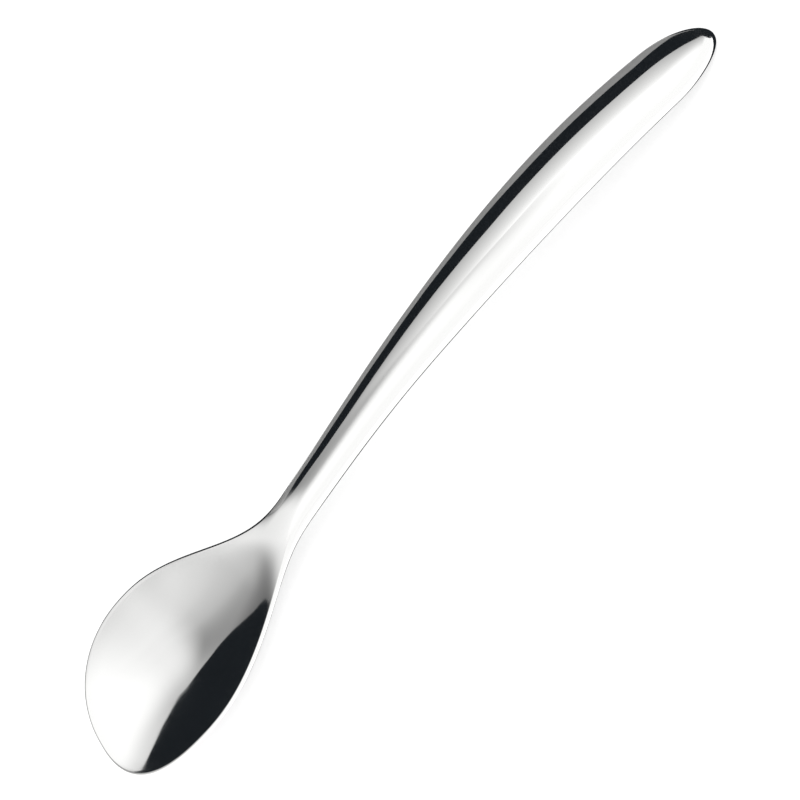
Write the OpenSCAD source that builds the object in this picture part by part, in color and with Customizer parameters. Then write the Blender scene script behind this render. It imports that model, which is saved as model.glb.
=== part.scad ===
// Toddler spoon, pressed in one piece from stainless steel plate and polished all over.
// Millimetres. The spoon lies on its back: X runs along it towards the tip of the bowl, Z is up, and
// the origin is under the middle of its length. Stations along the spoon count from the handle's end.

/* [Length] */
// Overall length, from the end of the handle to the tip of the bowl
length = 140; // [125:1:160]

/* [Bowl] */
// Width across the rim at the bowl's widest section
bowl_w = 28.2; // [22:0.2:32]
// Distance from the narrowest section of the neck to the tip
bowl_l = 47.4; // [42:0.2:52]
// Distance from the widest section to the tip
bowl_front_l = 17; // [15:0.2:21]
// Fullness of the outline round the tip, where 2 is an ellipse
tip_fullness = 2.3; // [2:0.05:2.6]
// Depth of the bowl below its edge line
bowl_depth = 4; // [3:0.1:5]
// Share of the bowl's half width over which its bottom is rounded, before the straighter sides
bowl_round = 0.6; // [0.4:0.05:1.2]
// Thickness of the rim
rim_t = 1.2; // [0.9:0.1:1.6]
// How much thicker the bowl is in its middle than at the rim
bowl_extra_t = 0.2; // [0:0.05:0.4]

/* [Handle] */
// Width at the handle's widest section
handle_w = 10.9; // [9:0.1:14]
// Distance of that section from the end of the handle
grip_at = 27.2; // [20:0.2:32]
// Width that the taper towards the end would reach, without its rounding
end_w = 8.8; // [7:0.1:11]
// Length over which the end is rounded off
end_round_l = 6.8; // [5:0.2:9]
// Width of the neck at its narrowest section
neck_w = 6.6; // [5:0.1:8]
// Rise of the domed top above the handle's edge line
crown_h = 2.2; // [1:0.1:3]
// Rise of the hollowed underside above the handle's edge line
hollow_h = 0.4; // [0:0.1:0.8]
// Thickness of the handle's edges
edge_t = 1.6; // [1.2:0.1:2.2]

/* [Side view] */
// Height of the edge line at the end of the handle
end_z = 0.6; // [0.4:0.1:2]
// Height of the edge line at the handle's widest section
grip_z = 6.5; // [5:0.1:8]
// Height of the edge line at the top of the arch
arch_z = 7.6; // [6.6:0.1:10]
// Distance of the top of the arch from the end of the handle
arch_at = 60.8; // [50:0.2:66]
// Height of the edge line at the neck
neck_z = 4.6; // [3.6:0.1:6.6]
// Height of the edge line in the throat, where the bowl begins
throat_z = 3; // [2.4:0.1:5]
// Distance of the throat from the tip
throat_l = 33.6; // [32:0.2:40]
// Height of the rim at its highest
rim_z = 5.6; // [5:0.1:6.6]
// Distance of that place from the tip
rim_top_l = 12.8; // [9:0.2:15]
// Height of the rim at the tip
tip_z = 4.9; // [3.6:0.1:6.6]

/* [Hidden] */

// Stations of the neck and of the bowl's widest section
neck_at = length - bowl_l;
wide_at = length - bowl_front_l;
// Stretch over which the domed handle turns into the hollow bowl
turn_from = neck_at - 4;
turn_l = 16;
// Share of the half width that the rounded edges may take near the two ends
end_edge_share = 0.9;
// Step in the share of the half width for working out a face's tilt
tilt_step = 0.01;
// Number of stations, and of facets in a rounded edge and across a face
stations = 80;
edge_facets = 4;
face_facets = 14;

// Side view of the edge line, as stations and heights
edge_line = [
    [0, end_z],
    [grip_at, grip_z],
    [arch_at, arch_z],
    [neck_at, neck_z],
    [length - throat_l, throat_z],
    [length - rim_top_l, rim_z],
    [length, tip_z]
];

function clamp(t) = min(1, max(0, t));
function mix(a, b, t) = a + (b - a) * t;
// Smooth step from 0 to 1
function ease(t) = (1 - cos(180 * clamp(t))) / 2;
// Quarter circle from 0 to 1
function quarter(t) = sqrt(1 - pow(1 - clamp(t), 2));

// Smooth curve through a list of points, each a station and a value
function segment(p, x, i = 0) = i == len(p) - 2 || x < p[i + 1].x ? i : segment(p, x, i + 1);
function rate(p, a, b) = (p[b].y - p[a].y) / (p[b].x - p[a].x);
// Slope at a point, where the first and last stretches are parabolas
function slope(p, i) =
    let (n = len(p) - 1)
    i == 0 ? 2 * rate(p, 0, 1) - rate(p, 0, 2)
    : i == n ? 2 * rate(p, n - 1, n) - rate(p, n - 2, n)
    : rate(p, i - 1, i + 1);
function curve(p, x) =
    let (i = segment(p, x), h = p[i + 1].x - p[i].x, t = (x - p[i].x) / h)
    (1 + 2 * t) * pow(1 - t, 2) * p[i].y + t * pow(1 - t, 2) * h * slope(p, i)
    + t * t * (3 - 2 * t) * p[i + 1].y + t * t * (t - 1) * h * slope(p, i + 1);

// Outline in plan: half the width at a station
function handle_half(x) =
    (x < grip_at
        ? mix(end_w, handle_w, sin(90 * x / grip_at))
        : mix(handle_w, neck_w, ease((x - grip_at) / (neck_at - grip_at)))) / 2;
function bowl_half(x) =
    x < wide_at
        ? mix(neck_w, bowl_w, ease((x - neck_at) / (wide_at - neck_at))) / 2
        : bowl_w / 2 * pow(1 - pow((x - wide_at) / bowl_front_l, tip_fullness), 1 / tip_fullness);
function half_w(x) = x < neck_at ? handle_half(x) * quarter(x / end_round_l) : bowl_half(x);

// Share of the bowl in a section: 0 on the handle and 1 in the bowl
function bowl_share(x) = ease((x - turn_from) / turn_l);
// Depth across the bowl: 0 in the middle and 1 at the rim
function dish(f) =
    let (bend = sqrt(1 + pow(1 / bowl_round, 2)) - 1)
    (sqrt(1 + pow(f / bowl_round, 2)) - 1) / bend;
// Height of a face's middle surface above the edge line at a share f of the half width, for a given
// rise on the handle and drop in the bowl
function face_rise(x, f, rise, drop) =
    mix(rise * pow(2 * half_w(x) / handle_w, 2) * (1 - f * f),
        -drop * pow(2 * half_w(x) / bowl_w, 2) * (1 - dish(f)),
        bowl_share(x));
function thickness(x) = mix(edge_t, rim_t, bowl_share(x));

// Places across one face, from the right edge to the left: distance from the middle, and the share
// of the full thickness there, which falls to nothing round the edge
function across(w, r) = concat(
    [for (i = [0:edge_facets]) [w - r + r * cos(90 * i / edge_facets), sin(90 * i / edge_facets)]],
    [for (i = [1:face_facets - 1]) [(w - r) * (1 - 2 * i / face_facets), 1]],
    [for (i = [edge_facets:-1:0]) [r - w - r * cos(90 * i / edge_facets), sin(90 * i / edge_facets)]]
);

// Height of a face at a place in a section, half the plate's thickness off its middle surface
function face_z(x, place, w, rise, drop, side) =
    let (f = place[0] / w,
         t = thickness(x) / 2,
         tilt = (face_rise(x, f + tilt_step, rise, drop) - face_rise(x, f - tilt_step, rise, drop))
                / (2 * tilt_step * w))
    curve(edge_line, x) + face_rise(x, f, rise, drop)
    + side * t * place[1] * quarter(x / t) * quarter((length - x) / t) * sqrt(1 + tilt * tilt);

// Closed ring of points round the section at a station: top face, then underside
function ring(x) =
    let (w = half_w(x),
         places = across(w, min(thickness(x) / 2, end_edge_share * w)),
         n = len(places),
         low_drop = bowl_depth + bowl_extra_t)
    concat(
        [for (p = places) [x, p[0], face_z(x, p, w, crown_h, bowl_depth, 1)]],
        [for (i = [n - 2:-1:1]) [x, places[i][0], face_z(x, places[i], w, hollow_h, low_drop, -1)]]
    );

// Stations lie closer together towards both ends
rings = [for (i = [1:stations - 1]) ring(length * (1 - cos(180 * i / stations)) / 2)];
ring_n = len(rings[0]);
points = concat(
    [[0, 0, end_z]],
    [for (r = rings) each r],
    [[length, 0, tip_z]]
);
lowest = min([for (p = points) p.z]);

function index(i, j) = 1 + i * ring_n + j % ring_n;
faces = concat(
    [for (j = [0:ring_n - 1]) [0, index(0, j), index(0, j + 1)]],
    [for (i = [0:stations - 3], j = [0:ring_n - 1]) [index(i, j), index(i + 1, j), index(i + 1, j + 1)]],
    [for (i = [0:stations - 3], j = [0:ring_n - 1]) [index(i, j), index(i + 1, j + 1), index(i, j + 1)]],
    [for (j = [0:ring_n - 1]) [len(points) - 1, index(stations - 2, j + 1), index(stations - 2, j)]]
);

// The whole spoon: domed handle, neck and hollow bowl, with its lowest points on the ground
module spoon() {
    color("gainsboro")
        translate([-length / 2, 0, -lowest])
            polyhedron(points, faces, convexity = 6);
}

spoon();
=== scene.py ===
"""Toddler spoon in mirror-polished stainless steel, lying on its back on a pale table under a light tent."""

import math

import bmesh
import bpy
import numpy as np
from bpy.props import FloatProperty, FloatVectorProperty, IntProperty, PointerProperty, StringProperty
from mathutils import Matrix, Vector


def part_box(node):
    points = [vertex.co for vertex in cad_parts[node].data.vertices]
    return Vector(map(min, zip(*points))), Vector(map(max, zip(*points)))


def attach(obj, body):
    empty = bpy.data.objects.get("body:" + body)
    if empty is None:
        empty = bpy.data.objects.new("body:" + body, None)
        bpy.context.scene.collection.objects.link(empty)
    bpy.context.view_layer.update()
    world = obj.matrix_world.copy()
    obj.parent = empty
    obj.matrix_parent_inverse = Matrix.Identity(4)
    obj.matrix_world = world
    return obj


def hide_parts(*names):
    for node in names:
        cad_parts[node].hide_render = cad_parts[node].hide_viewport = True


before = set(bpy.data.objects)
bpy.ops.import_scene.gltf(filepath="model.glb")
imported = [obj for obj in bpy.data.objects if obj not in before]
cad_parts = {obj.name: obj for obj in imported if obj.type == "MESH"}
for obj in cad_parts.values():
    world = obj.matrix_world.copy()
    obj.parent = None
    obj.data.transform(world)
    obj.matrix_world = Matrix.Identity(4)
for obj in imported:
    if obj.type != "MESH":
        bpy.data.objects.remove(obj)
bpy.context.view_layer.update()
SPOON_LOW, SPOON_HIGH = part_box("spoon")

bl_info = {
    "name": "Toddler spoon",
    "version": (1, 0, 0),
    "blender": (4, 5, 0),
    "location": "View3D > Sidebar > Spoon",
    "description": "Models a one-piece steel toddler spoon and a light tent to show it in",
    "category": "Add Mesh",
}

MM = 0.001
WHITE = (1, 1, 1, 1)


def length_property(name, description, metres):
    """Property for a length."""
    return FloatProperty(name=name, description=description, default=metres, unit="LENGTH")


def angle_property(name, description, degrees):
    """Property for an angle."""
    return FloatProperty(name=name, description=description, default=math.radians(degrees), subtype="ANGLE")


def share_property(name, description, share):
    """Property for a share between 0 and 1."""
    return FloatProperty(name=name, description=description, default=share, min=0, max=1, subtype="FACTOR")


def level_property(name, description, level):
    """Property for a brightness."""
    return FloatProperty(name=name, description=description, default=level, min=0)


def colour_property(name, description, hex_colour):
    """Property for a colour."""
    return StringProperty(name=name, description=description + ", as sRGB hex", default=hex_colour)


class SpoonShape(bpy.types.PropertyGroup):
    """Sizes of the spoon. Stations along it count from the end of the handle."""

    length: length_property(
        "Length", "From the end of the handle to the tip of the bowl", SPOON_HIGH.x - SPOON_LOW.x)
    bowl_w: length_property(
        "Bowl width", "Across the rim at the bowl's widest section", SPOON_HIGH.y - SPOON_LOW.y)
    bowl_l: length_property(
        "Bowl length", "From the narrowest section of the neck to the tip", 47.4 * MM)
    bowl_front_l: length_property(
        "Bowl front", "From the bowl's widest section to the tip", 17 * MM)
    tip_fullness: FloatProperty(
        name="Tip fullness", description="Exponent of the outline round the tip, where 2 is an ellipse",
        default=2.3)
    bowl_depth: length_property(
        "Bowl depth", "Depth of the bowl below its edge line", 4 * MM)
    bowl_round: FloatProperty(
        name="Bowl rounding", description="Share of the bowl's half width over which its bottom is rounded",
        default=0.6)
    bowl_extra_t: length_property(
        "Extra thickness", "How much thicker the bowl is in its middle than at the rim", 0.2 * MM)
    rim_t: length_property(
        "Rim thickness", "Thickness of the bowl's rim", 0.8 * MM)
    handle_w: length_property(
        "Handle width", "Width at the handle's widest section", 10.9 * MM)
    grip_at: length_property(
        "Grip station", "Distance of the widest section from the handle's end", 27.2 * MM)
    end_w: length_property(
        "End width", "Width that the taper towards the end would reach without its rounding", 9 * MM)
    end_round_l: length_property(
        "End rounding", "Length over which the handle's end is rounded off", 9 * MM)
    neck_w: length_property(
        "Neck width", "Width of the neck at its narrowest section", 6.6 * MM)
    crown_h: length_property(
        "Crown", "Rise of the handle's domed top above its edge line", 2.2 * MM)
    hollow_h: length_property(
        "Hollow", "Rise of the handle's hollowed underside above its edge line", 0.4 * MM)
    edge_t: length_property(
        "Edge thickness", "Thickness of the handle's edges", 1.6 * MM)
    end_z: length_property(
        "End height", "Height of the edge line at the handle's end", 0.6 * MM)
    grip_z: length_property(
        "Grip height", "Height of the edge line at the handle's widest section", 6.5 * MM)
    arch_z: length_property(
        "Arch height", "Height of the edge line at the top of the arch", 7.57 * MM)
    arch_at: length_property(
        "Arch station", "Distance of the top of the arch from the handle's end", 60.8 * MM)
    neck_z: length_property(
        "Neck height", "Height of the edge line at the neck", 4.6 * MM)
    throat_z: length_property(
        "Throat height", "Height of the edge line where the bowl begins", 3 * MM)
    throat_l: length_property(
        "Throat to tip", "Distance of the throat from the tip", 33.6 * MM)
    rim_z: length_property(
        "Rim height", "Height of the rim at its highest", 5.6 * MM)
    rim_top_l: length_property(
        "Rim top to tip", "Distance of the rim's highest place from the tip", 12.8 * MM)
    tip_z: length_property(
        "Tip height", "Height of the rim at the tip", 4.9 * MM)
    outline_points: IntProperty(
        name="Outline points", description="Number of vertices round the outline", default=640, min=64)
    rim_loops: IntProperty(
        name="Rim loops", description="Number of edge loops in a quarter of the rounded edge",
        default=6, min=2)
    face_loops: IntProperty(
        name="Face loops", description="Number of edge loops between the rim and the middle",
        default=34, min=8)


class SteelFinish(bpy.types.PropertyGroup):
    """Finish of the polished steel."""

    colour: colour_property(
        "Steel", "Colour of the polished steel", "#F0F0EF")
    worn_colour: colour_property(
        "Worn steel", "Colour of the steel along the worn rim", "#EAEAE9")
    roughness: share_property(
        "Roughness", "Roughness of the polish where it is best", 0.035)
    cloud_roughness: share_property(
        "Cloud roughness", "Roughness added where the polish is cloudiest", 0.03)
    line_roughness: share_property(
        "Line roughness", "Roughness added on the buffing lines", 0.02)
    worn_roughness: share_property(
        "Worn roughness", "Roughness added along the worn rim", 0.05)
    cloud_size: length_property(
        "Cloud size", "Size of the cloudy patches in the polish", 12 * MM)
    buff_pitch: length_property(
        "Buffing pitch", "Distance between the buffing lines", 0.35 * MM)
    buff_stretch: FloatProperty(
        name="Buffing stretch", description="How many times as long as wide a buffing line is", default=60)


class TentLook(bpy.types.PropertyGroup):
    """The light tent, the cards in it and the camera."""

    azimuth: angle_property(
        "Azimuth", "Direction of the camera round the spoon, from the handle's end to its left side", 55.891)
    elevation: angle_property(
        "Elevation", "Height of the camera above the table", 44.985)
    roll: angle_property(
        "Roll", "Turn of the picture round the line of sight", -76.083)
    distance: length_property(
        "Distance", "From the spoon to the camera", 0.9)
    picture_w: length_property(
        "Picture width", "Width that the picture covers at the spoon", 110.6 * MM)
    middle_z: length_property(
        "Middle height", "Height of the spoon's middle, which the framing counts from", 5 * MM)
    framing: FloatVectorProperty(
        name="Framing", description="Where the camera aims, right and up of the spoon's middle",
        size=2, default=(1.85 * MM, -0.51 * MM), unit="LENGTH")
    table_colour: colour_property(
        "Table", "Colour of the table", "#B4B4B4")
    table_white: share_property(
        "Table white", "White added to the table where it is seen, so that its shadow is faint", 0.72)
    # Also the colour of the black card under the spoon, which is painted shadow
    flag_and_shadow_colour: colour_property(
        "Flag", "Colour of the black flags", "#1F2327")
    # Also the colour of the grey sheet on the table, which is painted shade
    grey_card_and_shade_colour: colour_property(
        "Grey card and painted table shade", "Colour of the grey cards on the far side", "#A0A0A0")
    tent_bright: level_property(
        "Tent", "Brightness of the tent where it is brightest", 1.2)
    dim_slant: angle_property(
        "Dim slant", "Slant of the top of the dim part of the tent's wall, down to the left", 37)
    dim_top: share_property(
        "Dim top", "Sine of the slanted height above which the tent's wall is fully bright", 0.79)
    dim_full: share_property(
        "Dim full", "Sine of the slanted height below which the tent's wall is at its dimmest", 0.54)
    foot_top: share_property(
        "Foot top", "Sine of the height below which the foot of the tent's wall dims further", 0.5)
    foot_full: share_property(
        "Foot full", "Sine of the height below which the foot of the tent's wall is at its dimmest", 0.2)
    foot_drop: share_property(
        "Foot drop", "How much the foot of the tent's wall is dimmed further", 0.2)
    graded_foot: level_property(
        "Graded foot", "Brightness of the graded sheet at its foot", 0.45)
    graded_head: level_property(
        "Graded head", "Brightness of the graded sheet and of the small one by the neck, at the top", 1.2)
    neck_level: level_property(
        "Neck sheet", "Brightness of the small sheet by the neck, at its foot", 0.84)
    roof_level: level_property(
        "Roof sheet", "Brightness of the sheet over the handle", 1.17)
    over_level: level_property(
        "Overhead sheet", "Brightness of the sheet over the tip of the bowl", 0.65)


def linear(hex_colour):
    """Linear RGBA of an sRGB hex colour."""
    parts = [int(hex_colour[i:i + 2], 16) / 255 for i in (1, 3, 5)]
    return [c / 12.92 if c <= 0.04045 else ((c + 0.055) / 1.055) ** 2.4 for c in parts] + [1]


def add_node(tree, kind, inputs=None, links=None, **settings):
    """Adds a node with its settings, input values and links to other nodes' outputs."""
    node = tree.nodes.new(kind)
    for key, value in settings.items():
        setattr(node, key, value)
    for key, value in (inputs or {}).items():
        node.inputs[key].default_value = value
    for key, output in (links or {}).items():
        tree.links.new(output, node.inputs[key])
    return node


def new_material(name):
    """A material with no nodes yet, and its node tree."""
    material = bpy.data.materials.new(name)
    material.use_nodes = True
    material.node_tree.nodes.clear()
    return material, material.node_tree


def steel_material(finish):
    """Stainless steel, pressed, ground and mirror polished.

    The eye sees sharp, nearly colourless mirror images, softened a little by fine buffing lines along
    the spoon and by cloudier patches, and a duller, slightly darker line along the rim from use.
    """
    material, tree = new_material("Stainless steel, mirror polished")
    place = add_node(tree, "ShaderNodeTexCoord").outputs["Object"]
    rim = add_node(tree, "ShaderNodeAttribute", attribute_name="rim_wear").outputs["Fac"]
    # Buffing lines run along the spoon. They are drawn coarser than the few hundredths of a millimetre of
    # real ones so that they show
    lines_at = add_node(
        tree, "ShaderNodeMapping", {"Scale": (1 / finish.buff_stretch, 1, 1)}, {"Vector": place})
    lines = add_node(
        tree, "ShaderNodeTexNoise", {"Scale": 1 / finish.buff_pitch, "Detail": 3, "Roughness": 0.6},
        {"Vector": lines_at.outputs[0]})
    clouds = add_node(
        tree, "ShaderNodeTexNoise", {"Scale": 1 / finish.cloud_size, "Detail": 4, "Roughness": 0.55},
        {"Vector": place})
    polish = add_node(
        tree, "ShaderNodeMapRange",
        {"From Min": 0.35, "From Max": 0.75,
         "To Min": finish.roughness, "To Max": finish.roughness + finish.cloud_roughness},
        {"Value": clouds.outputs["Fac"]})
    lined = add_node(
        tree, "ShaderNodeMath", {1: finish.line_roughness}, {0: lines.outputs["Fac"], 2: polish.outputs[0]},
        operation="MULTIPLY_ADD")
    rough = add_node(
        tree, "ShaderNodeMath", {1: finish.worn_roughness}, {0: rim, 2: lined.outputs[0]},
        operation="MULTIPLY_ADD")
    colour = add_node(
        tree, "ShaderNodeMix", {"A": linear(finish.colour), "B": linear(finish.worn_colour)}, {"Factor": rim},
        data_type="RGBA")
    bump = add_node(
        tree, "ShaderNodeBump", {"Strength": 0.02, "Distance": 0.02 * MM}, {"Height": lines.outputs["Fac"]})
    steel = add_node(
        tree, "ShaderNodeBsdfPrincipled", {"Metallic": 1},
        {"Base Color": colour.outputs["Result"], "Roughness": rough.outputs[0], "Normal": bump.outputs[0]})
    add_node(tree, "ShaderNodeOutputMaterial", links={"Surface": steel.outputs[0]})
    return material


def ease(t):
    """Smooth step from 0 to 1."""
    return (1 - np.cos(np.pi * np.clip(t, 0, 1))) / 2


def quarter(t):
    """Quarter circle from 0 to 1."""
    return np.sqrt(1 - (1 - np.clip(t, 0, 1)) ** 2)


def curve(stations, values, x):
    """Smooth curve through points, whose first and last stretches are parabolas."""
    stations = np.array(stations)
    values = np.array(values)
    rate = np.diff(values) / np.diff(stations)
    slope = np.empty(len(values))
    slope[1:-1] = (values[2:] - values[:-2]) / (stations[2:] - stations[:-2])
    slope[0] = 2 * rate[0] - slope[1]
    slope[-1] = 2 * rate[-1] - slope[-2]
    i = np.clip(np.searchsorted(stations, x) - 1, 0, len(rate) - 1)
    step = np.diff(stations)[i]
    t = (x - stations[i]) / step
    return ((1 + 2 * t) * (1 - t) ** 2 * values[i] + t * (1 - t) ** 2 * step * slope[i]
            + t * t * (3 - 2 * t) * values[i + 1] + t * t * (t - 1) * step * slope[i + 1])


def evened(profile, x, room, reach):
    """Weighted mean of a profile over a reach each way, less where the room is under three reaches."""
    spread = reach * ease(room / (3 * reach))
    steps = np.linspace(-1, 1, 13)
    weights = 1 - steps ** 2 + 0.05
    total = sum(weight * profile(x + step * spread) for step, weight in zip(steps, weights))
    return total / weights.sum()


class SpoonForm:
    """The spoon's outline in plan and the heights of its two faces, over stations from the handle's end."""

    # Reach, in plan and in side view, over which joins between curves are evened out so that mirror images
    # have no kinks
    PLAN_REACH = 3 * MM
    SIDE_REACH = 7.5 * MM
    # The domed handle turns into the hollow bowl over this length, from this far before the neck
    TURN_L = 16 * MM
    TURN_BEFORE = 4 * MM
    # Step across a face for working out its tilt
    TILT_STEP = 0.01 * MM
    # Number of places at which one side of the outline is worked out, before its vertices are spaced
    PLACES = 6001
    # Length of outline that takes as many vertices as a bend of one radian
    BEND_L = 3.5 * MM
    # Fans close the two ends. Their middles are at these shares of the end's rounding and of the bowl's
    # front, where both are about round
    END_FAN = 0.9
    FRONT_FAN = 0.72
    # Share of the way from the rim to the middle over which the wear fades out
    WEAR_REACH = 1 / 6

    def __init__(self, shape):
        self.shape = shape
        self.neck_at = shape.length - shape.bowl_l
        self.wide_at = shape.length - shape.bowl_front_l

    def plain_half(self, x):
        """Half the width at a station, before the joins are evened out."""
        s = self.shape
        to_grip = np.sin(np.pi / 2 * np.clip(x / s.grip_at, 0, 1))
        to_neck = ease((x - s.grip_at) / (self.neck_at - s.grip_at))
        to_wide = ease((x - self.neck_at) / (self.wide_at - self.neck_at))
        to_tip = np.clip((x - self.wide_at) / s.bowl_front_l, 0, 1) ** s.tip_fullness
        tail = s.end_w + (s.handle_w - s.end_w) * to_grip
        body = s.handle_w + (s.neck_w - s.handle_w) * to_neck
        handle = np.where(x < s.grip_at, tail, body) / 2 * quarter(x / s.end_round_l)
        back = (s.neck_w + (s.bowl_w - s.neck_w) * to_wide) / 2
        front = s.bowl_w / 2 * (1 - to_tip) ** (1 / s.tip_fullness)
        return np.where(x < self.neck_at, handle, np.where(x < self.wide_at, back, front))

    def half_width(self, x):
        """Half the width at a station."""
        s = self.shape
        room = np.minimum(x - s.end_round_l, s.length - x - s.bowl_front_l / 2)
        return evened(self.plain_half, x, room, self.PLAN_REACH)

    def edge_line(self, x):
        """Height of the middle of the edge."""
        s = self.shape
        throat_at = s.length - s.throat_l
        rim_top_at = s.length - s.rim_top_l
        stations = [0, s.grip_at, s.arch_at, self.neck_at, throat_at, rim_top_at, s.length]
        heights = [s.end_z, s.grip_z, s.arch_z, s.neck_z, s.throat_z, s.rim_z, s.tip_z]
        return evened(lambda at: curve(stations, heights, at), x, s.length, self.SIDE_REACH)

    def bowl_share(self, x):
        """Share of the bowl in a section: 0 on the handle and 1 in the bowl."""
        def turned(at):
            return ease((at - self.neck_at + self.TURN_BEFORE) / self.TURN_L)
        return evened(turned, x, self.shape.length, self.PLAN_REACH)

    def dish(self, f):
        """Rise of the bowl across its half width: 0 in the middle and 1 at the rim."""
        bend = 1 / self.shape.bowl_round
        return (np.sqrt(1 + (f * bend) ** 2) - 1) / (math.sqrt(1 + bend * bend) - 1)

    def thickness(self, x):
        """Thickness of the edge."""
        s = self.shape
        return s.edge_t + (s.rim_t - s.edge_t) * self.bowl_share(x)

    def middle(self, x, y, rise, drop):
        """Height of a face's middle surface, for its rise on the handle and its drop in the bowl."""
        s = self.shape
        w = self.half_width(x)
        share = self.bowl_share(x)
        dome = rise * (2 / s.handle_w) ** 2 * (w * w - y * y)
        hollow = drop * (2 * w / s.bowl_w) ** 2 * (1 - self.dish(y / w))
        return self.edge_line(x) + dome * (1 - share) - hollow * share

    def face(self, x, y, side, fullness):
        """Height of the top (side 1) or the underside (side -1), off its middle surface by a share of half
        the thickness."""
        s = self.shape
        rise, drop = (s.crown_h, s.bowl_depth) if side > 0 else (s.hollow_h, s.bowl_depth + s.bowl_extra_t)
        step = self.TILT_STEP
        inside = np.clip(x, 2 * step, s.length - 2 * step)
        climb = self.middle(inside, y + step, rise, drop) - self.middle(inside, y - step, rise, drop)
        slant = np.sqrt(1 + (climb / (2 * step)) ** 2)
        return self.middle(inside, y, rise, drop) + side * fullness * self.thickness(x) / 2 * slant

    def outline(self, count):
        """Points round the outline in plan and their outward directions, closer together where it bends."""
        x = self.shape.length * (1 - np.cos(np.linspace(0, np.pi, self.PLACES))) / 2
        side = np.stack([x, self.half_width(x)], 1)
        side[0, 1] = side[-1, 1] = 0
        along, across = np.diff(side, axis=0).T
        bend = np.abs(np.gradient(np.unwrap(np.arctan2(across, along))))
        spacing = np.concatenate([[0], np.cumsum(np.hypot(along, across) + self.BEND_L * bend)])
        index = np.arange(len(x))
        at = np.interp(np.linspace(0, spacing[-1], count // 2 + 1), spacing, index)
        half = np.stack([np.interp(at, index, side[:, k]) for k in (0, 1)], 1)
        ring = np.concatenate([half, half[-2:0:-1] * (1, -1)])
        tangent = np.roll(ring, -1, 0) - np.roll(ring, 1, 0)
        outward = np.stack([-tangent[:, 1], tangent[:, 0]], 1)
        return ring, outward / np.linalg.norm(outward, axis=1, keepdims=True)

    def loops(self, side):
        """Edge loops of one face, from the rim's outermost line to the middle, each with its wear."""
        s = self.shape
        ring, outward = self.outline(s.outline_points)
        edge = outward * (self.thickness(ring[:, 0]) / 2)[:, None]
        made = []
        for i in range(s.rim_loops + 1):
            angle = math.pi / 2 * i / s.rim_loops
            made.append((ring - edge * (1 - math.cos(angle)), math.sin(angle), 1.0))
        inner = ring - edge
        middle_x = np.clip(
            inner[:, 0], self.END_FAN * s.end_round_l, s.length - self.FRONT_FAN * s.bowl_front_l)
        spine = np.stack([middle_x, np.zeros(len(inner))], 1)
        for i in range(1, s.face_loops + 1):
            share = i / s.face_loops
            made.append((inner + (spine - inner) * share, 1.0, max(0.0, 1 - share / self.WEAR_REACH)))
        return [(np.stack([*plan.T, self.face(*plan.T, side, full)], 1), wear) for plan, full, wear in made]


class SPOON_OT_body(bpy.types.Operator):
    """Models the spoon: the outline is drawn, then edge loops are extruded inwards over both faces"""

    bl_idname = "spoon.body"
    bl_label = "Spoon"

    def execute(self, context):
        shape = context.scene.spoon_shape
        form = SpoonForm(shape)
        count = shape.outline_points
        top = form.loops(1)
        under = form.loops(-1)
        low = min(points[:, 2].min() for points, wear in under)
        shift = np.array([SPOON_LOW.x, 0, SPOON_LOW.z - low])

        bpy.ops.object.select_all(action="DESELECT")
        bpy.ops.mesh.primitive_circle_add(vertices=count, radius=shape.length / 2, fill_type="NOTHING")
        spoon = context.object
        spoon.name = spoon.data.name = "toddler_spoon"
        bpy.ops.object.mode_set(mode="EDIT")
        mesh = bmesh.from_edit_mesh(spoon.data)
        mesh.verts.layers.float.new("rim_wear")
        place = mesh.verts.layers.int.new("place")
        for i, vert in enumerate(mesh.verts):
            vert[place] = i
        self.lay(spoon, *top[0], shift)
        for loops in (top, under):
            self.select_outline(spoon, count)
            for points, wear in loops[1:]:
                bpy.ops.mesh.extrude_edges_indiv()
                self.lay(spoon, points, wear, shift)
        bpy.ops.mesh.select_all(action="SELECT")
        bpy.ops.mesh.remove_doubles(threshold=0.001 * MM)
        bpy.ops.mesh.normals_make_consistent(inside=False)
        bpy.ops.object.mode_set(mode="OBJECT")
        spoon.data.attributes.remove(spoon.data.attributes["place"])
        bpy.ops.object.shade_smooth()

        spoon.data.materials.append(steel_material(context.scene.spoon_finish))
        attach(spoon, "root")
        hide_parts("spoon")
        return {"FINISHED"}

    def lay(self, spoon, points, wear, shift):
        """Puts the selected loop's vertices in their places."""
        mesh = bmesh.from_edit_mesh(spoon.data)
        place = mesh.verts.layers.int["place"]
        rim_wear = mesh.verts.layers.float["rim_wear"]
        for vert in mesh.verts:
            if vert.select:
                vert.co = points[vert[place]] + shift
                vert[rim_wear] = wear
        bmesh.update_edit_mesh(spoon.data)

    def select_outline(self, spoon, count):
        """Selects only the outline, whose vertices are the first ones."""
        bpy.ops.mesh.select_all(action="DESELECT")
        mesh = bmesh.from_edit_mesh(spoon.data)
        for edge in mesh.edges:
            if all(vert.index < count for vert in edge.verts):
                edge.select = True
        bmesh.update_edit_mesh(spoon.data)


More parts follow.
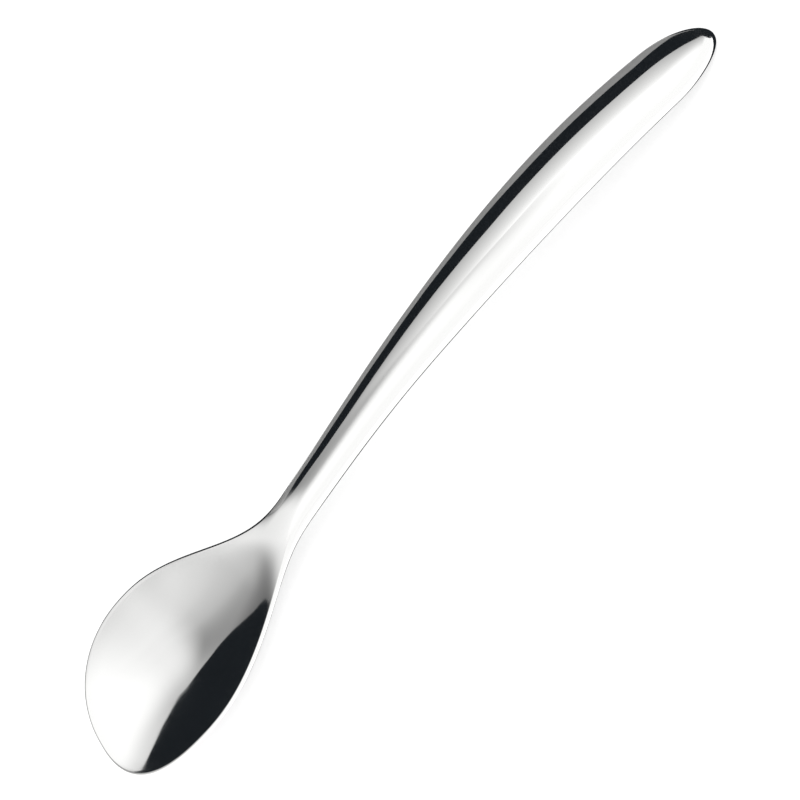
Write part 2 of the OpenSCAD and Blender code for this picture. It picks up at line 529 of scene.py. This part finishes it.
def table_material(look):
    """Matt white table.

    Where the camera sees it, it shows the spoon's soft shadow, and its white is topped up to the picture's.
    In the steel's mirror images it is white.
    """
    material, tree = new_material("Matt white laminate")
    place = add_node(tree, "ShaderNodeTexCoord").outputs["Object"]
    # Grain of the laminate, about 3 mm across
    grain = add_node(tree, "ShaderNodeTexNoise", {"Scale": 1 / (3 * MM), "Detail": 2}, {"Vector": place})
    bump = add_node(
        tree, "ShaderNodeBump", {"Strength": 0.02, "Distance": 0.02 * MM}, {"Height": grain.outputs["Fac"]})
    matt = add_node(
        tree, "ShaderNodeBsdfDiffuse", {"Color": linear(look.table_colour)}, {"Normal": bump.outputs[0]})
    path = add_node(tree, "ShaderNodeLightPath")
    seen = add_node(
        tree, "ShaderNodeMath", {1: look.table_white}, {0: path.outputs["Is Camera Ray"]},
        operation="MULTIPLY")
    white = add_node(
        tree, "ShaderNodeMath", links={0: path.outputs["Is Glossy Ray"], 1: seen.outputs[0]},
        operation="MAXIMUM")
    glow = add_node(tree, "ShaderNodeEmission", {"Color": WHITE}, {"Strength": white.outputs[0]})
    both = add_node(tree, "ShaderNodeAddShader", links={0: matt.outputs[0], 1: glow.outputs[0]})
    add_node(tree, "ShaderNodeOutputMaterial", links={"Surface": both.outputs[0]})
    return material


def card_material(name, hex_colour):
    """Matt painted card, evenly dark or grey, as the polished steel mirrors it: the flags and cards, and the
    painted shadow and shade laid on the table.
    """
    material, tree = new_material(name)
    matt = add_node(tree, "ShaderNodeBsdfDiffuse", {"Color": linear(hex_colour)})
    add_node(tree, "ShaderNodeOutputMaterial", links={"Surface": matt.outputs[0]})
    return material


def sheet_material(name, fades, foot, head=None, rise=None):
    """Backlit diffusion sheet that thins out at its edges.

    It is evenly lit, or goes from its foot's brightness to its head's over a rise in height. Each fade has
    a direction and two places along it, where the sheet begins and where it is full. Rise and places are in
    millimetres.
    """
    material, tree = new_material(name)
    place = add_node(tree, "ShaderNodeTexCoord").outputs["Object"]
    glow = add_node(tree, "ShaderNodeEmission", {"Color": WHITE, "Strength": foot})
    if rise:
        height = add_node(tree, "ShaderNodeSeparateXYZ", links={0: place}).outputs["Z"]
        share = add_node(
            tree, "ShaderNodeMapRange", {"From Min": rise[0] * MM, "From Max": rise[1] * MM},
            {"Value": height})
        # The brightness climbs faster near the foot
        eased = add_node(tree, "ShaderNodeMath", {1: 0.55}, {0: share.outputs[0]}, operation="POWER")
        level = add_node(
            tree, "ShaderNodeMath", {1: head - foot, 2: foot}, {0: eased.outputs[0]},
            operation="MULTIPLY_ADD")
        tree.links.new(level.outputs[0], glow.inputs["Strength"])
    cover = None
    for direction, begin, full in fades:
        along = add_node(tree, "ShaderNodeVectorMath", {1: direction}, {0: place}, operation="DOT_PRODUCT")
        fade = add_node(
            tree, "ShaderNodeMapRange", {"From Min": begin * MM, "From Max": full * MM},
            {"Value": along.outputs["Value"]}, interpolation_type="SMOOTHSTEP").outputs[0]
        if cover:
            fade = add_node(
                tree, "ShaderNodeMath", links={0: cover, 1: fade}, operation="MULTIPLY").outputs[0]
        cover = fade
    clear = add_node(tree, "ShaderNodeBsdfTransparent")
    both = add_node(tree, "ShaderNodeMixShader", links={0: cover, 1: clear.outputs[0], 2: glow.outputs[0]})
    add_node(tree, "ShaderNodeOutputMaterial", links={"Surface": both.outputs[0]})
    return material


def oblong(left, right, low, high):
    """Outline of an oblong card."""
    return ((left, low), (right, low), (right, high), (left, high))


def lying(height):
    """Place of a card that lies level, at a height above the table in millimetres."""
    return Matrix.Translation((0, 0, SPOON_LOW.z + height * MM))


def standing(place, bearing=0):
    """Place of a card that stands on its edge, along the spoon or at a bearing to it."""
    turn = Matrix.Rotation(bearing, 4, "Z") @ Matrix.Rotation(math.pi / 2, 4, "X")
    return Matrix.Translation(place) @ turn


class SPOON_OT_tent(bpy.types.Operator):
    """Sets up the table, the light tent, the cards and the camera"""

    bl_idname = "spoon.tent"
    bl_label = "Light tent"

    # How much dimmer the tent's wall is at each bearing, in degrees to the left of straight behind the spoon
    WALL = ((-180, 0), (-90, 0.05), (-60, 0.28), (-38, 0.48), (-20, 0.67), (-6, 0.86), (6, 0.78), (17, 0.45),
            (28, 0.12), (42, 0), (180, 0))

    # Outlines of the flat stage pieces, in millimetres. Those of the flags and of the black card under the
    # spoon, a painted shadow, follow the edges of their mirror images in the handle, in the bowl and along
    # the near rim
    OUTLINES = {
        "table": oblong(-3000, 3000, -3000, 3000),
        "handle_flag": (
            (-230, 0), (-78, 0), (-70, 9), (-58, 14), (-30, 14), (-22, 12.8), (-4, 12.8), (8, 15), (48, 15.5),
            (45, 20), (41, 25), (36, 28.5), (29, 30.5), (4, 31.2), (-1, 32), (-8, 34.2), (-16, 37), (-56, 38),
            (-70, 35.8), (-85, 31.5), (-100, 32), (-126, 36), (-160, 34), (-230, 24)),
        "bowl_flag": (
            (45, 0), (45, 104), (36, 112), (33, 117), (31.2, 121), (30, 125), (29.2, 130.6), (27.7, 136.3),
            (25.8, 142.6), (23.5, 148.8), (21.4, 156.2), (19.6, 163), (18.1, 170.5), (16.9, 177), (15.2, 182),
            (12, 186), (6, 187), (-1.6, 185), (-11.2, 177.5), (-20.4, 170.5), (-28.9, 164), (-35.6, 154.5),
            (-40.8, 141.5), (-44.3, 129), (-45.6, 112), (-46.3, 98.2), (-47, 88), (-52, 82.5), (-58, 78),
            (-64, 70), (-90, 62), (-120, 55), (-120, 0)),
        "grey_card": oblong(-110, 48, 0, 17),
        # Grey sheet on the table beside the handle's far side: painted shade, the table there darker in the
        # steel's mirror image
        "painted_shade_sheet": ((-64, -8), (24, -8), (24, -31), (-70, -31)),
        "graded_sheet": oblong(-170, 70, 14, 260),
        "neck_sheet": oblong(20, 80, 3, 80),
        "overhead_sheet": oblong(60, 400, -80, 40),
        "roof_sheet": oblong(-40, 60, -30, 60),
        # Black card under the spoon and just round it: painted shadow, which the spoon's lower edges mirror
        # as a dark line
        "painted_shadow_card": (
            (-130, -30), (-130, -4), (-76, -1), (-72, 2), (-66, 5.2), (-55, 6.3), (-43, 7), (-10, 7.2),
            (10, 6), (25, 4), (33, 5.9), (43, 11.2), (53, 13.5), (61, 12), (66, 7.8), (68.6, 0), (66, -7),
            (61, -11), (53, -12.2), (43, -10), (33, -5), (25, -2.9), (0, -3.7), (-43, -4.7), (-60, -4.2),
            (-66, -30)),
    }

    # Black strip beside the bowl's far rim: its stations and its heights above the edge line, in millimetres
    STRIP = ((84, -1), (90, 0.6), (96, 1), (103, 2.5), (110, 5), (120, 4), (132, -1))
    STRIP_COLUMNS = 49
    STRIP_GAP = 1 * MM
    STRIP_FOOT = 0.2 * MM

    # Distance of the bowl's flag from the spoon
    FLAG_AWAY = 300 * MM

    def execute(self, context):
        look = context.scene.spoon_tent
        # Level directions away from the camera and to its left
        self.away = Vector((math.cos(look.azimuth), -math.sin(look.azimuth), 0))
        self.left = Vector((self.away.y, -self.away.x, 0))
        self.add_card("table", lying(0), table_material(look))
        self.add_cards(look, SpoonForm(context.scene.spoon_shape))
        self.add_light(context, look)
        self.add_camera(context, look)
        context.scene.view_settings.view_transform = "Standard"
        return {"FINISHED"}

    def add_card(self, name, place, material):
        """A flat stage piece, set in its place in its mesh."""
        outline = self.OUTLINES[name]
        bpy.ops.object.select_all(action="DESELECT")
        bpy.ops.mesh.primitive_circle_add(vertices=len(outline), fill_type="NGON")
        card = bpy.context.object
        card.name = card.data.name = name
        for vert, point in zip(card.data.vertices, outline):
            vert.co = place @ Vector((point[0] * MM, point[1] * MM, 0))
        card.data.materials.append(material)
        return card

    def add_strip(self, form, material):
        """Low strip that stands beside the bowl's far rim and follows it."""
        given, rises = np.array(self.STRIP).T * MM
        stations = np.linspace(given[0], given[-1], self.STRIP_COLUMNS)
        beside = -form.half_width(stations) - self.STRIP_GAP
        top = form.edge_line(stations) + np.interp(stations, given, rises)
        bpy.ops.object.select_all(action="DESELECT")
        bpy.ops.mesh.primitive_grid_add(x_subdivisions=len(stations) - 1, y_subdivisions=1)
        strip = bpy.context.object
        strip.name = strip.data.name = "rim_strip"
        for i, vert in enumerate(strip.data.vertices):
            column = i % len(stations)
            height = top[column] if i >= len(stations) else self.STRIP_FOOT
            vert.co = (stations[column] + SPOON_LOW.x, beside[column], SPOON_LOW.z + height)
        strip.data.materials.append(material)
        return strip

    def add_cards(self, look, form):
        """Black flags, grey cards, lit sheets, a black card under the spoon as painted shadow and a grey
        sheet beside it as painted shade on the table, which only the polished steel sees.
        """
        black = card_material("Black flock card and painted shadow", look.flag_and_shadow_colour)
        grey = card_material("Grey card and painted table shade", look.grey_card_and_shade_colour)
        graded = sheet_material(
            "Graded diffusion sheet", [((1, 0, 0), -130, -90), ((1, 0, 0), 45, 25), ((0, 0, 1), 260, 200)],
            look.graded_foot, look.graded_head, (34, 200))
        by_neck = sheet_material(
            "Small diffusion sheet",
            [((1, 0, 0), 27, 35), ((1, 0, 0), 64, 56), ((1, 0, -0.5), 44, 36.5), ((0, 0, 1), 7.3, 10.5),
             ((-1.45, 0, 1), -20, -38)],
            look.neck_level, look.graded_head, (7, 56))
        overhead = sheet_material(
            "Overhead diffusion sheet", [((1, 0, 0), 72, 112), ((0, 1, 0), -15, 10), ((0, 1, 0), 26, 13)],
            look.over_level)
        roof = sheet_material(
            "Roof diffusion sheet", [((0.2, 1, 0), -9, 0), ((1, 0, 0), -40, -5), ((1, 0, 0), 56, 48)],
            look.roof_level)
        leftwards = math.atan2(self.left.y, self.left.x)
        cards = [
            self.add_card("handle_flag", standing((0, -30 * MM, 0)), black),
            self.add_card("bowl_flag", standing(self.away * self.FLAG_AWAY, leftwards), black),
            self.add_card("grey_card", standing((0, -31 * MM, 0)), grey),
            # Painted shade on the table beside the handle, seen only in the steel's mirror images
            self.add_card("painted_shade_sheet", lying(0.2), grey),
            self.add_card("graded_sheet", standing((0, -31.5 * MM, 0)), graded),
            self.add_card("neck_sheet", standing((0, -12 * MM, 0)), by_neck),
            self.add_card("overhead_sheet", lying(150), overhead),
            self.add_card("roof_sheet", lying(30), roof),
            # Painted shadow under the spoon, seen only in the steel's mirror images
            self.add_card("painted_shadow_card", lying(0.1), black),
            self.add_strip(form, black),
        ]
        for card in cards:
            card.visible_camera = False
            card.visible_diffuse = False
            card.visible_shadow = False

    def add_light(self, context, look):
        """Soft light from all round, dimmer low behind the spoon."""
        world = bpy.data.worlds.new("Light tent")
        context.scene.world = world
        world.use_nodes = True
        tree = world.node_tree
        tree.nodes.clear()
        towards = add_node(tree, "ShaderNodeTexCoord").outputs["Generated"]
        ahead = add_node(tree, "ShaderNodeVectorMath", {1: self.away}, {0: towards}, operation="DOT_PRODUCT")
        aside = add_node(tree, "ShaderNodeVectorMath", {1: self.left}, {0: towards}, operation="DOT_PRODUCT")
        bearing = add_node(
            tree, "ShaderNodeMath", links={0: aside.outputs["Value"], 1: ahead.outputs["Value"]},
            operation="ARCTAN2")
        turn = add_node(
            tree, "ShaderNodeMapRange", {"From Min": -math.pi, "From Max": math.pi},
            {"Value": bearing.outputs[0]})
        wall = add_node(tree, "ShaderNodeValToRGB", links={0: turn.outputs[0]})
        wall.color_ramp.interpolation = "CARDINAL"
        stops = wall.color_ramp.elements
        while len(stops) < len(self.WALL):
            stops.new(0.5)
        for stop, (degrees, drop) in zip(stops, self.WALL):
            stop.position = degrees / 360 + 0.5
            stop.color = (drop, drop, drop, 1)
        slant = Vector((0, 0, math.cos(look.dim_slant))) + self.left * math.sin(look.dim_slant)
        slanted = add_node(tree, "ShaderNodeVectorMath", {1: slant}, {0: towards}, operation="DOT_PRODUCT")
        low = add_node(
            tree, "ShaderNodeMapRange", {"From Min": look.dim_top, "From Max": look.dim_full},
            {"Value": slanted.outputs["Value"]}, interpolation_type="SMOOTHSTEP")
        height = add_node(tree, "ShaderNodeSeparateXYZ", links={0: towards})
        foot = add_node(
            tree, "ShaderNodeMapRange",
            {"From Min": look.foot_top, "From Max": look.foot_full, "To Max": look.foot_drop},
            {"Value": height.outputs["Z"]}, interpolation_type="SMOOTHSTEP")
        both = add_node(
            tree, "ShaderNodeMath", links={0: low.outputs[0], 1: foot.outputs[0]}, operation="ADD")
        dim = add_node(
            tree, "ShaderNodeMath", links={0: wall.outputs["Color"], 1: both.outputs[0]},
            operation="MULTIPLY")
        level = add_node(
            tree, "ShaderNodeMath", {0: look.tent_bright}, {1: dim.outputs[0]}, operation="SUBTRACT")
        glow = add_node(tree, "ShaderNodeBackground", {"Color": WHITE}, {"Strength": level.outputs[0]})
        add_node(tree, "ShaderNodeOutputWorld", links={"Surface": glow.outputs[0]})

    def add_camera(self, context, look):
        """Camera at the photograph's direction, roll and scale."""
        towards = -self.away * math.cos(look.elevation) + Vector((0, 0, math.sin(look.elevation)))
        right = Vector((0, 0, 1)).cross(towards).normalized()
        up = towards.cross(right)
        turn = Matrix.Rotation(look.roll, 3, towards)
        right = turn @ right
        up = turn @ up
        aim = Vector((0, 0, look.middle_z)) + right * look.framing[0] + up * look.framing[1]
        data = bpy.data.cameras.new("Camera")
        data.sensor_width = 36
        data.lens = data.sensor_width * look.distance / look.picture_w
        data.clip_start = 0.05
        camera = bpy.data.objects.new("Camera", data)
        context.scene.collection.objects.link(camera)
        axes = Matrix((right, up, towards)).transposed().to_4x4()
        camera.matrix_world = Matrix.Translation(aim + towards * look.distance) @ axes
        context.scene.camera = camera


class SPOON_PT_panel(bpy.types.Panel):
    """Lists the spoon's sizes and the steps that make it"""

    bl_idname = "SPOON_PT_panel"
    bl_label = "Toddler spoon"
    bl_space_type = "VIEW_3D"
    bl_region_type = "UI"
    bl_category = "Spoon"

    def draw(self, context):
        scene = context.scene
        for group in (scene.spoon_shape, scene.spoon_finish, scene.spoon_tent):
            box = self.layout.box()
            for key in group.bl_rna.properties.keys():
                if key not in ("rna_type", "name"):
                    box.prop(group, key)
        self.layout.operator(SPOON_OT_body.bl_idname)
        self.layout.operator(SPOON_OT_tent.bl_idname)


CLASSES = (SpoonShape, SteelFinish, TentLook, SPOON_OT_body, SPOON_OT_tent, SPOON_PT_panel)


def register():
    for item in CLASSES:
        bpy.utils.register_class(item)
    bpy.types.Scene.spoon_shape = PointerProperty(type=SpoonShape)
    bpy.types.Scene.spoon_finish = PointerProperty(type=SteelFinish)
    bpy.types.Scene.spoon_tent = PointerProperty(type=TentLook)


def unregister():
    del bpy.types.Scene.spoon_shape
    del bpy.types.Scene.spoon_finish
    del bpy.types.Scene.spoon_tent
    for item in reversed(CLASSES):
        bpy.utils.unregister_class(item)


def main():
    register()
    bpy.ops.spoon.body()
    bpy.ops.spoon.tent()


if __name__ == "__main__":
    main()
